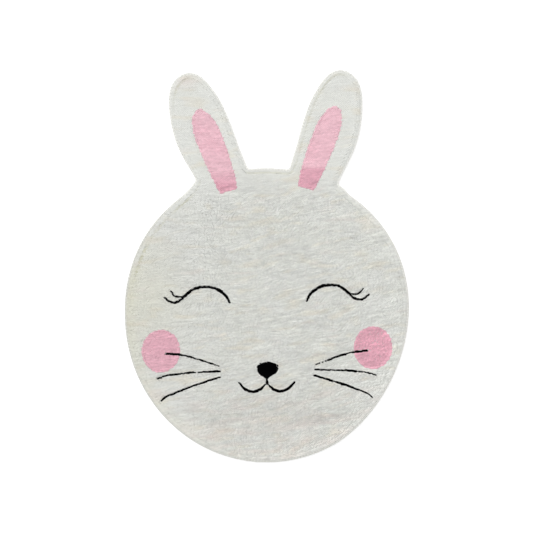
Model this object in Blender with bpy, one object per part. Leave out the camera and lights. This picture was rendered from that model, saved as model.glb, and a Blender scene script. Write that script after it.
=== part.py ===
# Rabbit shaped kids rug, lying flat with its ears towards +Y.
# One tufted panel with a soft, slightly uneven top, and the oversewn yarn edge that runs round it.
import math

import bmesh
import bpy
import numpy as np
from mathutils import Vector

# Whole rug, in metres
RUG_WIDTH = 0.800
RUG_LENGTH = 1.105

# Head: an oval, a little fuller above its middle, and on the right leaner below it
HEAD_HALF_WIDTH = 0.400
HEAD_HALF_HEIGHT = 0.415
CHEEK_SWAY = {
    "left": {"above": 0.0048, "below": 0.0002},
    "right": {"above": 0.0070, "below": 0.0074},
}
SWAY_END = math.radians(60)

# The seam allowance swells the head beside each ear's outer root: how high up the head, how far round, how much
SHOULDERS = {
    "left": {"rise": math.radians(64.0), "half_angle": math.radians(5.5), "height": 0.017},
    "right": {"rise": math.radians(59.5), "half_angle": math.radians(2.4), "height": 0.009},
}

# Ears: reach of the edge from the ear's own centre line, at heights above its root
EAR_REACH = [
    {"up": -0.060, "outer": 0.066, "inner": 0.078},
    {"up": 0.000, "outer": 0.073, "inner": 0.072},
    {"up": 0.050, "outer": 0.084, "inner": 0.069},
    {"up": 0.100, "outer": 0.093, "inner": 0.068},
    {"up": 0.150, "outer": 0.094, "inner": 0.066},
    {"up": 0.200, "outer": 0.088, "inner": 0.060},
    {"up": 0.246, "outer": 0.076, "inner": 0.047},
    {"up": 0.278, "outer": 0.059, "inner": 0.032},
    {"up": 0.296, "outer": 0.037, "inner": 0.013},
]
EAR_TIP_UP = 0.3025
EAR_TIP_OUT = 0.009

# Where each ear is rooted from the middle of the head, and how far it leans outward
EARS = {
    "left": {"side": -1, "root_x": -0.1254, "root_y": 0.3986, "lean": math.radians(18.7)},
    "right": {"side": 1, "root_x": 0.1352, "root_y": 0.4000, "lean": math.radians(14.1)},
}

# Outline drawing
FINE_STEP = 0.002
ROOT_ROUNDING = 0.006
OUTLINE_POINTS = 250
BEND_WEIGHT = 0.020

# Sewn edge
BINDING_WIDTH = 0.009
BINDING_HEIGHT = 0.0095
BINDING_FLAT = 0.0056
BINDING_ARC_START = math.radians(-30)
BINDING_ARC_STEPS = 8
PIECE_GAP = 0.0003

# Pile panel
PANEL_THICKNESS = 0.0138
PANEL_EDGE_ROUND = 0.0065
PANEL_EDGE_SEGMENTS = 3
SWELL_GRID = 0.026
SWELL_HEIGHT = 0.0013
SWELL_MARGIN = 0.030
FLAT_LIMIT = 1e-5

PILE_COLOUR = (0.640, 0.645, 0.600, 1.0)
BINDING_COLOUR = (0.730, 0.735, 0.680, 1.0)


def clear_scene():
    for item in list(bpy.data.objects):
        bpy.data.objects.remove(item, do_unlink=True)


def make_material(name, colour, roughness):
    material = bpy.data.materials.new(name)
    material.use_nodes = True
    shader = material.node_tree.nodes["Principled BSDF"]
    shader.inputs["Base Color"].default_value = colour
    shader.inputs["Roughness"].default_value = roughness
    shader.inputs["Metallic"].default_value = 0.0
    material.diffuse_color = colour
    return material


def head_radius(angle):
    """Distance from the middle of the head to its edge in this direction."""
    across = math.cos(angle) / HEAD_HALF_WIDTH
    along = math.sin(angle) / HEAD_HALF_HEIGHT
    radius = 1.0 / math.hypot(across, along)
    side = "right" if math.cos(angle) >= 0 else "left"
    rise = math.asin(math.sin(angle))
    if abs(rise) < SWAY_END:
        sway = CHEEK_SWAY[side]["above" if rise > 0 else "below"]
        radius += sway * math.sin(math.pi * rise / SWAY_END)
    shoulder = SHOULDERS[side]
    off = (rise - shoulder["rise"]) / shoulder["half_angle"]
    return radius + shoulder["height"] * math.exp(-off * off)


def head_point(angle):
    radius = head_radius(angle)
    return Vector((radius * math.cos(angle), radius * math.sin(angle)))


def outside_head(point):
    return point.length > head_radius(math.atan2(point.y, point.x))


def smooth_through(points, steps):
    """Points of a smooth curve through the given ones, ends included."""
    padded = [points[0] * 2 - points[1]] + points + [points[-1] * 2 - points[-2]]
    curve = []
    for i in range(1, len(padded) - 2):
        a, b, c, d = padded[i - 1:i + 3]
        for step in range(steps):
            t = step / steps
            near = (c - a) * t + (a * 2 - b * 5 + c * 4 - d) * t ** 2
            far = (b * 3 - a - c * 3 + d) * t ** 3
            curve.append(b + (near + far) * 0.5)
    curve.append(points[-1])
    return curve


def ear_curve(ear):
    """The ear's edge from its outer root over the tip to its inner root, outside the head."""
    up = Vector((ear["side"] * math.sin(ear["lean"]), math.cos(ear["lean"])))
    out = Vector((ear["side"] * math.cos(ear["lean"]), -math.sin(ear["lean"])))
    root = Vector((ear["root_x"], ear["root_y"]))
    outer = [root + up * row["up"] + out * row["outer"] for row in EAR_REACH]
    inner = [root + up * row["up"] - out * row["inner"] for row in EAR_REACH]
    tip = root + up * EAR_TIP_UP + out * EAR_TIP_OUT
    curve = smooth_through(outer + [tip] + inner[::-1], 16)
    return [point for point in curve if outside_head(point)]


def head_arc(start, end):
    """The head's edge from one direction to another, counter-clockwise."""
    steps = max(2, int((end - start) * HEAD_HALF_WIDTH / FINE_STEP))
    return [head_point(start + (end - start) * i / steps) for i in range(1, steps)]


def direction(point):
    return math.atan2(point.y, point.x)


def resample(points, count, weight=0.0):
    """Points spread evenly along a closed line, closer together where it bends."""
    line = np.array([(p[0], p[1]) for p in points])
    ahead = np.roll(line, -1, axis=0) - line
    length = np.hypot(ahead[:, 0], ahead[:, 1])
    heading = np.arctan2(ahead[:, 1], ahead[:, 0])
    turn = np.abs((np.roll(heading, -1) - heading + math.pi) % (2 * math.pi) - math.pi)
    travel = np.concatenate(([0.0], np.cumsum(length + weight * turn)))
    closed = np.vstack((line, line[:1]))
    at = np.linspace(0.0, travel[-1], count, endpoint=False)
    return np.column_stack([np.interp(at, travel, closed[:, axis]) for axis in (0, 1)])


def rounded(line, reach):
    """The closed line with its corners rounded over about this length."""
    step = np.hypot(*(line[1] - line[0]))
    spread = int(round(3 * reach / step))
    shifts = np.arange(-spread, spread + 1)
    weights = np.exp(-0.5 * (shifts * step / reach) ** 2)
    weights /= weights.sum()
    return sum(w * np.roll(line, s, axis=0) for w, s in zip(weights, shifts))


def rug_outline():
    """The rug's outer edge, counter-clockwise from above, fitted to the rug's width and length."""
    right = ear_curve(EARS["right"])
    left = ear_curve(EARS["left"])[::-1]
    top = head_arc(direction(right[-1]), direction(left[0]))
    around = head_arc(direction(left[-1]), direction(right[0]) + 2 * math.pi)
    drawn = right + top + left + around
    count = int(sum((drawn[i] - drawn[i - 1]).length for i in range(len(drawn))) / FINE_STEP)
    line = rounded(resample(drawn, count), ROOT_ROUNDING)
    low = line.min(axis=0)
    high = line.max(axis=0)
    return (line - (low + high) / 2) * np.array((RUG_WIDTH, RUG_LENGTH)) / (high - low)


def inset(line, distance):
    """The closed line moved inward by this distance."""
    along = np.roll(line, -1, axis=0) - np.roll(line, 1, axis=0)
    along /= np.hypot(along[:, 0], along[:, 1])[:, None]
    inward = np.column_stack((-along[:, 1], along[:, 0]))
    return line + inward * distance


def closed_curve(name, line, dimensions):
    curve = bpy.data.curves.new(name, "CURVE")
    curve.dimensions = dimensions
    spline = curve.splines.new("POLY")
    spline.points.add(len(line) - 1)
    for point, (x, y) in zip(spline.points, line):
        point.co = (x, y, 0.0, 1.0)
    spline.use_cyclic_u = True
    return curve


def mesh_from_curve(curve, name, extras=()):
    """Turns the curve into a welded mesh object of this name, and removes the curve."""
    holder = bpy.data.objects.new(name + "_curve", curve)
    bpy.context.collection.objects.link(holder)
    bpy.context.view_layer.update()
    shown = holder.evaluated_get(bpy.context.evaluated_depsgraph_get())
    mesh = bpy.data.meshes.new_from_object(shown)
    mesh.transform(holder.matrix_world)
    for item in (holder, *extras):
        bpy.data.objects.remove(item, do_unlink=True)
    mesh.name = name
    return bpy.data.objects.new(name, mesh)


def swell(x, y):
    """The soft unevenness of a pile that has been walked on, from -1 to 1."""
    broad = math.sin(9.1 * x + 4.3 * y + 0.6) * math.cos(5.2 * x - 8.7 * y + 1.1)
    small = math.sin(23.0 * x - 11.0 * y) * math.sin(17.0 * y + 6.0 * x + 2.0)
    return 0.65 * broad + 0.35 * small


def make_panel(edge_line, rug):
    """The tufted panel: flat below, rounded over at its rim, softly uneven on top."""
    line = inset(edge_line, BINDING_WIDTH / 2 + PIECE_GAP)
    curve = closed_curve("pile_panel", line, "2D")
    curve.fill_mode = "BOTH"
    curve.extrude = PANEL_THICKNESS / 2
    panel = mesh_from_curve(curve, "pile_panel")
    rug.objects.link(panel)
    body = bmesh.new()
    body.from_mesh(panel.data)
    bmesh.ops.remove_doubles(body, verts=body.verts, dist=1e-5)
    bmesh.ops.translate(body, verts=body.verts, vec=(0, 0, PANEL_THICKNESS / 2))
    for way in (1, -1):
        cap = [face for face in body.faces if face.normal.z * way > 0.5]
        bmesh.ops.dissolve_faces(body, faces=cap)
    bmesh.ops.recalc_face_normals(body, faces=body.faces)
    top = max(body.faces, key=lambda face: face.calc_center_median().z)
    bmesh.ops.bevel(
        body,
        geom=list(top.edges),
        offset=PANEL_EDGE_ROUND,
        segments=PANEL_EDGE_SEGMENTS,
        affect="EDGES",
        profile=0.5,
        clamp_overlap=True,
    )
    cut_top_into_grid(body)
    bmesh.ops.triangulate(body, faces=body.faces)
    raise_swells(body, line)
    bmesh.ops.recalc_face_normals(body, faces=body.faces)
    body.to_mesh(panel.data)
    body.free()
    return panel


def cut_top_into_grid(body):
    """Cuts the flat top across and along, so that it can follow soft swells."""
    for axis, span in ((0, RUG_WIDTH), (1, RUG_LENGTH)):
        normal = Vector((0, 0, 0))
        normal[axis] = 1
        for i in range(int(span / SWELL_GRID) + 1):
            at = normal * (-span / 2 + (i + 0.5) * SWELL_GRID)
            level = PANEL_THICKNESS - FLAT_LIMIT
            top = [face for face in body.faces if face.calc_center_median().z > level]
            edges = {edge for face in top for edge in face.edges}
            verts = {vert for face in top for vert in face.verts}
            bmesh.ops.bisect_plane(
                body,
                geom=[*top, *edges, *verts],
                dist=FLAT_LIMIT,
                plane_co=at,
                plane_no=normal,
            )


def raise_swells(body, line):
    """Lifts and lowers the top by its soft swells, which die away at the rim."""
    for vert in body.verts:
        if vert.co.z < PANEL_THICKNESS - FLAT_LIMIT:
            continue
        gap = float(np.hypot(line[:, 0] - vert.co.x, line[:, 1] - vert.co.y).min())
        fade = min(1.0, max(0.0, (gap - PANEL_EDGE_ROUND) / SWELL_MARGIN))
        vert.co.z += SWELL_HEIGHT * swell(vert.co.x, vert.co.y) * fade


def make_binding(edge_line, rug):
    """The sewn edge: a bead that is flat below and round above, swept once round the panel."""
    section = [(-BINDING_FLAT / 2, 0.0), (BINDING_FLAT / 2, 0.0)]
    lift = BINDING_HEIGHT / 2
    for i in range(BINDING_ARC_STEPS + 1):
        angle = BINDING_ARC_START + (math.pi - 2 * BINDING_ARC_START) * i / BINDING_ARC_STEPS
        section.append((BINDING_WIDTH / 2 * math.cos(angle), lift + lift * math.sin(angle)))
    profile = bpy.data.objects.new("bead_section", closed_curve("bead_section", section, "2D"))
    bpy.context.collection.objects.link(profile)
    curve = closed_curve("edge_binding", edge_line, "3D")
    curve.twist_mode = "Z_UP"
    curve.bevel_mode = "OBJECT"
    curve.bevel_object = profile
    binding = mesh_from_curve(curve, "edge_binding", [profile])
    rug.objects.link(binding)
    body = bmesh.new()
    body.from_mesh(binding.data)
    bmesh.ops.remove_doubles(body, verts=body.verts, dist=1e-6)
    bmesh.ops.recalc_face_normals(body, faces=body.faces)
    bmesh.ops.triangulate(body, faces=body.faces)
    body.to_mesh(binding.data)
    body.free()
    return binding


def main():
    clear_scene()
    rug = bpy.data.collections.new("rabbit_kids_rug")
    bpy.context.scene.collection.children.link(rug)
    edge_line = resample(inset(rug_outline(), BINDING_WIDTH / 2), OUTLINE_POINTS, BEND_WEIGHT)
    panel = make_panel(edge_line, rug)
    binding = make_binding(edge_line, rug)
    panel.data.materials.append(make_material("cut_pile_yarn_cream", PILE_COLOUR, 0.95))
    binding.data.materials.append(make_material("edge_yarn_cream", BINDING_COLOUR, 0.85))
    for item in (panel, binding):
        low = [round(min(v.co[i] for v in item.data.vertices) * 1000, 2) for i in range(3)]
        high = [round(max(v.co[i] for v in item.data.vertices) * 1000, 2) for i in range(3)]
        print(item.name, low, high, sum(len(f.vertices) - 2 for f in item.data.polygons))


main()
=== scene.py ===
import math

import bmesh
import bpy
import numpy as np
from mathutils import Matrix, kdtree


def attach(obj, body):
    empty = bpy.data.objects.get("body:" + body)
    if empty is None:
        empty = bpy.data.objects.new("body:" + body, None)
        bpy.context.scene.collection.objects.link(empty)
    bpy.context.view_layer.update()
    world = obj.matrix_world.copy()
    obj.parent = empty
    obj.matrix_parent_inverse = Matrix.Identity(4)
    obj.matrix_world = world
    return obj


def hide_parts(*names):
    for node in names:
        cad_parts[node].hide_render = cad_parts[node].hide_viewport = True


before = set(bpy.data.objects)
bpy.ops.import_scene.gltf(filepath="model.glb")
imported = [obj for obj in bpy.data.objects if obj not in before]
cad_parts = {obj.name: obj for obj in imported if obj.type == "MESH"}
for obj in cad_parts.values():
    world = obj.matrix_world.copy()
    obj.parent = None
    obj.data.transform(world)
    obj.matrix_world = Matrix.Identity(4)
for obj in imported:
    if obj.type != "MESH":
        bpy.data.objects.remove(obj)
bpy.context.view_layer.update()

# Rabbit shaped kids rug: cut pile in rows, pink and black yarns tufted in flush, oversewn edge.
# Lengths in the dictionaries are in millimetres, x across the rug and y up towards its ears.
mm = 0.001
weld = 1e-6


def hexColour(code):
    # sRGB hex to Blender's linear colour
    parts = [int(code[i:i + 2], 16) / 255 for i in (1, 3, 5)]
    return tuple(c / 12.92 if c <= 0.04045 else ((c + 0.055) / 1.055) ** 2.4 for c in parts) + (1.0,)


def addNode(tree, kind, inputs=None, **settings):
    node = tree.nodes.new(kind)
    for name, value in settings.items():
        setattr(node, name, value)
    for name, value in (inputs or {}).items():
        if isinstance(value, bpy.types.NodeSocket):
            tree.links.new(value, node.inputs[name])
        else:
            node.inputs[name].default_value = value
    return node


def emptyMaterial(name):
    material = bpy.data.materials.new(name)
    material.use_nodes = True
    material.node_tree.nodes.clear()
    return material, material.node_tree


def smoothLine(points, steps=14):
    # a smooth curve through the points of a drawn line
    p = np.array(points, float)
    p = np.vstack((2 * p[0] - p[1], p, 2 * p[-1] - p[-2]))
    curve = []
    for a, b, c, d in zip(p[:-3], p[1:-2], p[2:-1], p[3:]):
        for t in np.arange(steps) / steps:
            bend = (c - a) * t + (2 * a - 5 * b + 4 * c - d) * t * t + (3 * b - a - 3 * c + d) * t ** 3
            curve.append(b + 0.5 * bend)
    curve.append(p[-2])
    return np.array(curve)


def spreadEvenly(points, step, closed=False):
    line = np.vstack((points, points[:1])) if closed else np.asarray(points)
    travel = np.concatenate(([0.0], np.cumsum(np.hypot(*np.diff(line, axis=0).T))))
    count = max(2, int(round(travel[-1] / step)))
    at = np.linspace(0, travel[-1], count, endpoint=not closed)
    return np.column_stack([np.interp(at, travel, line[:, k]) for k in range(line.shape[1])])


def panelRim():
    # the border of the tufted panel, walked round once on its flat underside, the same way in every run
    body = bmesh.new()
    body.from_mesh(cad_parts["pile_panel"].data)
    bmesh.ops.remove_doubles(body, verts=body.verts, dist=weld)
    border = [edge for edge in body.edges if sum(face.normal.z < -0.9 for face in edge.link_faces) == 1]
    onward = {}
    for edge in border:
        a, b = edge.verts
        onward.setdefault(a.index, []).append(b.index)
        onward.setdefault(b.index, []).append(a.index)
    places = {vert.index: vert.co.copy() for vert in body.verts}
    body.free()
    start = min(onward)
    walk, last = [start], onward[start][0]
    while True:
        step = next(i for i in onward[walk[-1]] if i != last)
        if step == start:
            break
        last = walk[-1]
        walk.append(step)
    line = np.array([(places[i].x, places[i].y) for i in walk]) / mm
    turn = np.sum(line[:, 0] * np.roll(line[:, 1], -1) - line[:, 1] * np.roll(line[:, 0], -1))
    return line if turn > 0 else line[::-1]


def outwardOf(line):
    along = np.roll(line, -1, axis=0) - np.roll(line, 1, axis=0)
    along /= np.hypot(along[:, 0], along[:, 1])[:, None]
    return np.column_stack((along[:, 1], -along[:, 0]))


rim = spreadEvenly(panelRim(), 2.0, closed=True)
rimOut = outwardOf(rim)
print("panel border:", len(rim), "points")


def fromRim(points):
    # depth inside the panel's border, and which way is out there
    depth = np.empty(len(points))
    out = np.empty((len(points), 2))
    for i in range(0, len(points), 2000):
        part = points[i:i + 2000]
        gap = np.hypot(part[:, None, 0] - rim[None, :, 0], part[:, None, 1] - rim[None, :, 1])
        nearest = gap.argmin(axis=1)
        inside = np.sum((part - rim[nearest]) * rimOut[nearest], axis=1) < 0
        depth[i:i + 2000] = np.where(inside, 1, -1) * gap.min(axis=1)
        out[i:i + 2000] = rimOut[nearest]
    return depth, out


def softNoise(x, y, cell, seed):
    # smooth unevenness from -1 to 1, cell = (across, along) in mm
    size = 288
    table = np.random.default_rng(seed).uniform(-1, 1, (size, size))
    u, v = x / cell[0] + size, y / cell[1] + size
    i, j = np.floor(u).astype(int), np.floor(v).astype(int)
    s, t = u - i, v - j
    s, t = s * s * (3 - 2 * s), t * t * (3 - 2 * t)
    low = table[i % size, j % size] * (1 - s) + table[(i + 1) % size, j % size] * s
    high = table[i % size, (j + 1) % size] * (1 - s) + table[(i + 1) % size, (j + 1) % size] * s
    return low * (1 - t) + high * t


# The face: plain shapes of a sleepy rabbit, mirrored about the middle, tufted on a slight slope
design = {
    "slope": 0.016,
    "cheek": {"out": 298.2, "up": -233.9, "halfWidth": 53.1, "halfHeight": 60.0},
    # one inner ear from its slanting foot up to its round top, how much the right one stands above the left,
    # and how much it is narrower on its inner side
    "innerEar": {
        "up": (208.5, 220.9, 235.5, 251.5, 268.5, 296.5, 324.5, 352.5, 380.5, 397.5, 414.5, 431.5, 441.5,
               446.5),
        "inner": (128, 84.8, 86.4, 89.4, 93.4, 102, 110.3, 120.2, 131.5, 138.6, 149, 163.5, 175, 185),
        "outer": (130, 138.5, 145.3, 153.6, 161, 174.5, 186.2, 197.9, 206, 209, 210.3, 207.3, 199, 189),
        "right": 2.0,
        "rightNarrower": 3.5,
    },
    "nose": {
        "up": (-316, -310.2, -304.5, -299, -293.5, -287.5, -282.1, -277, -273.5, -271.5, -269.5),
        "left": (-2.6, -11, -18.5, -23, -27.6, -26.4, -28, -23.5, -16, -5, 2),
        "right": (3.4, 11.5, 19.4, 27.5, 30, 31, 31.4, 26.5, 19, 13, 9),
    },
}

# drawn lines: points as (out from the middle, up), the full width at even shares of the line, how far
# each side's start stands off its mirrored place, gaps as shares of the line, and for the whiskers the
# dashes of each side as (from, to, full width), with hardly any black between them
hardlyBlack = 0.3
strokes = {
    "eye": {
        "points": [(108, -100.5), (114, -88.5), (122.5, -77), (136, -66.5), (151.5, -59.5), (165.5, -56.3),
                   (180.5, -55.7), (195.5, -57.9), (207, -61.9), (218, -69.4), (234, -83.5)],
        "width": (5.0, 8.4, 7.2, 6.8, 7.4),
        "piece": "eye",
        "startOut": {"left": -4, "right": 4},
    },
    "lowerLash": {
        "points": [(231, -80.5), (240, -89.5), (249, -95.5), (262, -98.5), (274.5, -94.5), (287, -84.5)],
        "width": (6.4, 6.2, 4.8),
        "piece": "eye",
    },
    "upperLash": {
        "points": [(233, -82.5), (243, -83.5), (254, -81.5), (262.5, -76), (270, -67)],
        "width": (4.6, 5.4, 4.4),
        "piece": "eye",
    },
    "mouth": {
        "points": [(0, -328.5), (8, -337), (19, -346.5), (33, -352), (47, -351.5), (60, -345.5), (70, -337),
                   (77.5, -327)],
        "width": (2.4, 5.6, 6.8, 6.6, 6.2, 4.6),
        "piece": "mouth",
        "gaps": {"left": (), "right": ((0.065, 0.09),)},
    },
    "topWhisker": {
        "startOut": {"left": 0, "right": 3.5},
        "points": [(134, -279), (175, -265), (215, -252), (247, -245.1), (282, -242)],
        "piece": "whiskers",
        "dashes": {
            "left": [(0, 0.04, 2.4), (0.06, 0.12, 2.4), (0.12, 0.19, 4.2), (0.19, 0.31, 2.8),
                     (0.31, 0.375, 4.2), (0.375, 0.45, 2.6), (0.45, 0.51, 3.7), (0.52, 0.59, 4.5),
                     (0.59, 0.71, 3.3), (0.71, 1, 5.2)],
            "right": [(0, 0.045, 2.8), (0.06, 0.09, 2.8), (0.12, 0.15, 3.3), (0.175, 0.21, 3.7),
                      (0.235, 0.6, 4.5), (0.6, 0.72, 2.8), (0.72, 1, 5.2)],
        },
    },
    "middleWhisker": {
        "startOut": {"left": 0, "right": 3.5},
        "points": [(133, -293.5), (187, -295.3), (235, -298), (278, -303), (307, -310.5)],
        "piece": "whiskers",
        "dashes": {
            "left": [(0, 0.1, 4.8), (0.1, 0.25, 4.0), (0.25, 0.345, 3.0), (0.375, 0.42, 2.6),
                     (0.42, 0.53, 4.6), (0.53, 0.65, 3.2), (0.65, 0.8, 4.3), (0.8, 0.92, 3.5),
                     (0.945, 1, 4.4)],
            "right": [(0, 0.08, 4.4), (0.09, 0.135, 4.0), (0.145, 0.205, 3.3), (0.215, 0.265, 3.8),
                      (0.28, 0.33, 3.5), (0.34, 0.41, 4.0), (0.42, 0.48, 3.7), (0.49, 0.675, 5.0),
                      (0.675, 0.71, 2.8), (0.71, 0.775, 3.7), (0.775, 0.86, 2.3), (0.86, 0.91, 3.8),
                      (0.91, 1, 2.8)],
        },
    },
    "bottomWhisker": {
        "startOut": {"left": 0, "right": 3.5},
        "points": [(131, -309.5), (180, -324.9), (227, -340.5), (271, -358), (284, -363.5), (296.5, -373.5)],
        "piece": "whiskers",
        "dashes": {
            "left": [(0, 0.06, 3.2), (0.06, 0.3, 4.4), (0.3, 0.55, 4.0), (0.55, 1, 4.4)],
            "right": [(0, 0.24, 4.7), (0.24, 0.31, 5.4), (0.32, 0.36, 3.0), (0.36, 0.6, 5.3),
                      (0.6, 0.76, 4.4), (0.78, 0.9, 3.6), (0.9, 1, 2.8)],
        },
    },
}
# the stem from the nose to the mouth runs straight down, waisted in the middle: how far down, half width
stem = {"x": 0.2, "top": -310.5, "length": 20, "down": (0, 7, 10, 17, 20), "half": (3.3, 2.0, 1.9, 3.4, 2.6)}
sides = {"left": -1, "right": 1}


def onRug(points, side):
    # from the design's own measures to the rug's left (-1) or right (1) half
    out, up = points[:, 0] * side, points[:, 1]
    return np.column_stack((out, up + design["slope"] * out))


def inCheek(x, y, side):
    c = design["cheek"]
    up = y - design["slope"] * x
    return ((x * side - c["out"]) / c["halfWidth"]) ** 2 + ((up - c["up"]) / c["halfHeight"]) ** 2 < 1


def innerEdge(side):
    ear = design["innerEar"]
    return np.array(ear["inner"]) + (ear["rightNarrower"] if side > 0 else 0)


def inInnerEar(x, y, side):
    ear = design["innerEar"]
    up, out = y - design["slope"] * x - side * ear["right"], x * side
    inner, outer = np.interp(up, ear["up"], innerEdge(side)), np.interp(up, ear["up"], ear["outer"])
    return (up > ear["up"][0]) & (up < ear["up"][-1]) & (out > inner) & (out < outer)


def inNose(x, y):
    nose = design["nose"]
    up = y - design["slope"] * x
    left, right = np.interp(up, nose["up"], nose["left"]), np.interp(up, nose["up"], nose["right"])
    return (up > nose["up"][0]) & (up < nose["up"][-1]) & (x > left) & (x < right)


def lineHalf(stroke, word, share):
    # half the line's width at each share of its length
    if "dashes" not in stroke:
        half = np.interp(share, np.linspace(0, 1, len(stroke["width"])), stroke["width"]) / 2
        for start, end in stroke.get("gaps", {word: ()})[word]:
            half[(share > start) & (share < end)] = hardlyBlack
        return half
    half = np.full(len(share), hardlyBlack)
    for start, end, width in stroke["dashes"][word]:
        half[(share >= start) & (share <= end)] = width / 2
    return half


def stemLine():
    down = np.arange(stem["length"] + 1.0)
    half = np.interp(down, stem["down"], stem["half"])
    return np.column_stack((np.full(len(down), stem["x"]), stem["top"] - down, half))


# each drawn line as points 1 mm apart, with its half width
drawnLines = {("stem", "middle"): stemLine()}
for name, stroke in strokes.items():
    for word, side in sides.items():
        line = smoothLine(stroke["points"])
        line[:, 0] += stroke.get("startOut", {word: 0})[word] * np.linspace(1, 0, len(line))
        line = spreadEvenly(onRug(line, side), 1.0)
        drawnLines[name, word] = np.column_stack((line, lineHalf(stroke, word, np.linspace(0, 1, len(line)))))


def closedBorder(up, left, right, side):
    # the border of a shape given by its two edges at each height
    line = np.vstack((np.column_stack((right, up)), np.column_stack((left, up))[::-1]))
    return spreadEvenly(onRug(line, side), 1.0, closed=True)


def cheekBorder(side):
    cheek = design["cheek"]
    around = np.radians(np.arange(0, 360, 2.0))
    out = cheek["out"] + cheek["halfWidth"] * np.cos(around)
    up = cheek["up"] + cheek["halfHeight"] * np.sin(around)
    return spreadEvenly(onRug(np.column_stack((out, up)), side), 1.0, closed=True)


def innerEarBorder(side):
    ear = design["innerEar"]
    return closedBorder(np.array(ear["up"]) + side * ear["right"], innerEdge(side), ear["outer"], side)


noseBorder = closedBorder(design["nose"]["up"], design["nose"]["left"], design["nose"]["right"], 1)
colourBorders = {}
for word, side in sides.items():
    colourBorders["cheek", word] = cheekBorder(side)
    colourBorders["ear", word] = innerEarBorder(side)


nearBy, farOff = 25, 1e3


def fromLine(x, y, line, half=0.0):
    # distance to the nearest point of a line, less its own half width there; not measured far off
    gap = np.full(len(x), farOff)
    low, high = line[:, :2].min(axis=0) - nearBy, line[:, :2].max(axis=0) + nearBy
    near = np.flatnonzero((x > low[0]) & (x < high[0]) & (y > low[1]) & (y < high[1]))
    if len(near):
        apart = np.hypot(x[near, None] - line[None, :, 0], y[near, None] - line[None, :, 1])
        gap[near] = (apart - half).min(axis=1)
    return gap


def fromBlack(x, y):
    # distance from the nearest black edge, negative inside
    gap = np.full(len(x), farOff)
    for line in drawnLines.values():
        gap = np.minimum(gap, fromLine(x, y, line, line[None, :, 2]))
    nose = fromLine(x, y, noseBorder)
    return np.minimum(gap, np.where(inNose(x, y), -nose, nose))


# One tuft, shaped from a six-sided ball: narrow at its root, full below its rounded cut end
tuft = {
    "height": 7.6,
    "rootHalf": 1.5,
    "bellyHalf": 2.0,
    "lowAt": 0.30,
    "bellyAt": 0.72,
    "rootAt": -0.1,
    "combedLength": 3.1,
    "bendPower": 1.6,
    "groundTop": 6.6,
    "mapReach": (0.47, 0.37, 0.22, 0.0),
}


def editParts(thing, chosen, *steps, edges=False):
    # select points or edges in code, then run edit-mode operators on them
    mesh = thing.data
    for part in (mesh.polygons, mesh.edges, mesh.vertices):
        part.foreach_set("select", [False] * len(part))
    for i in chosen:
        (mesh.edges if edges else mesh.vertices)[i].select = True
    bpy.context.view_layer.objects.active = thing
    bpy.context.tool_settings.mesh_select_mode = (not edges, edges, False)
    bpy.ops.object.mode_set(mode="EDIT")
    for operator, settings in steps:
        operator(**settings)
    bpy.ops.object.mode_set(mode="OBJECT")


def meshArrays(thing):
    # a modelled piece as points and triangles, and the piece itself put away
    editParts(
        thing, range(len(thing.data.vertices)),
        (bpy.ops.mesh.quads_convert_to_tris, {}),
        (bpy.ops.mesh.normals_make_consistent, {"inside": False}),
    )
    verts = np.array([v.co[:] for v in thing.data.vertices])
    faces = np.array([p.vertices[:] for p in thing.data.polygons])
    bpy.data.objects.remove(thing, do_unlink=True)
    return verts, faces


def modelTuft():
    bpy.ops.object.select_all(action="DESELECT")
    bpy.ops.mesh.primitive_uv_sphere_add(segments=6, ring_count=3, radius=1, location=(0, 0, 0))
    ball = bpy.context.object
    # the ball's rings by height: where each goes on the tuft, and how wide it gets
    rings = {-1.0: (tuft["rootAt"], None), -0.5: (tuft["lowAt"], "rootHalf"),
             0.5: (tuft["bellyAt"], "bellyHalf"), 1.0: (1.0, None)}
    members = {at: [v.index for v in ball.data.vertices if abs(v.co.z - at) < 0.1] for at in rings}
    for at, (height, half) in rings.items():
        steps = [(bpy.ops.transform.translate, {"value": (0, 0, height - at)})]
        if half:
            grow = tuft[half] / math.hypot(*ball.data.vertices[members[at][0]].co.xy)
            wider = {"value": (grow, grow, 1), "center_override": (0, 0, height)}
            steps.append((bpy.ops.transform.resize, wider))
        editParts(ball, members[at], *steps)
    return meshArrays(ball)


tuftVerts, tuftFaces = modelTuft()
print("tuft:", len(tuftVerts), "points,", len(tuftFaces), "faces")


def starMap(verts, faces):
    # the tuft laid open as a star about its tip, so that every face has its own width in the map
    reach = np.interp(verts[:, 2], (tuft["rootAt"], tuft["lowAt"], tuft["bellyAt"], 1.0), tuft["mapReach"])
    angle = np.arctan2(verts[:, 1], verts[:, 0])
    corners = np.zeros((len(faces), 3, 2))
    for f, face in enumerate(faces):
        centre = verts[face].mean(axis=0)
        middle = math.atan2(centre[1], centre[0])
        for k, i in enumerate(face):
            a = middle if verts[i, 2] < 0 else angle[i]
            corners[f, k] = (0.5 + reach[i] * math.cos(a), 0.5 + reach[i] * math.sin(a))
    return corners


tuftMap = starMap(tuftVerts, tuftFaces)


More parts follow.
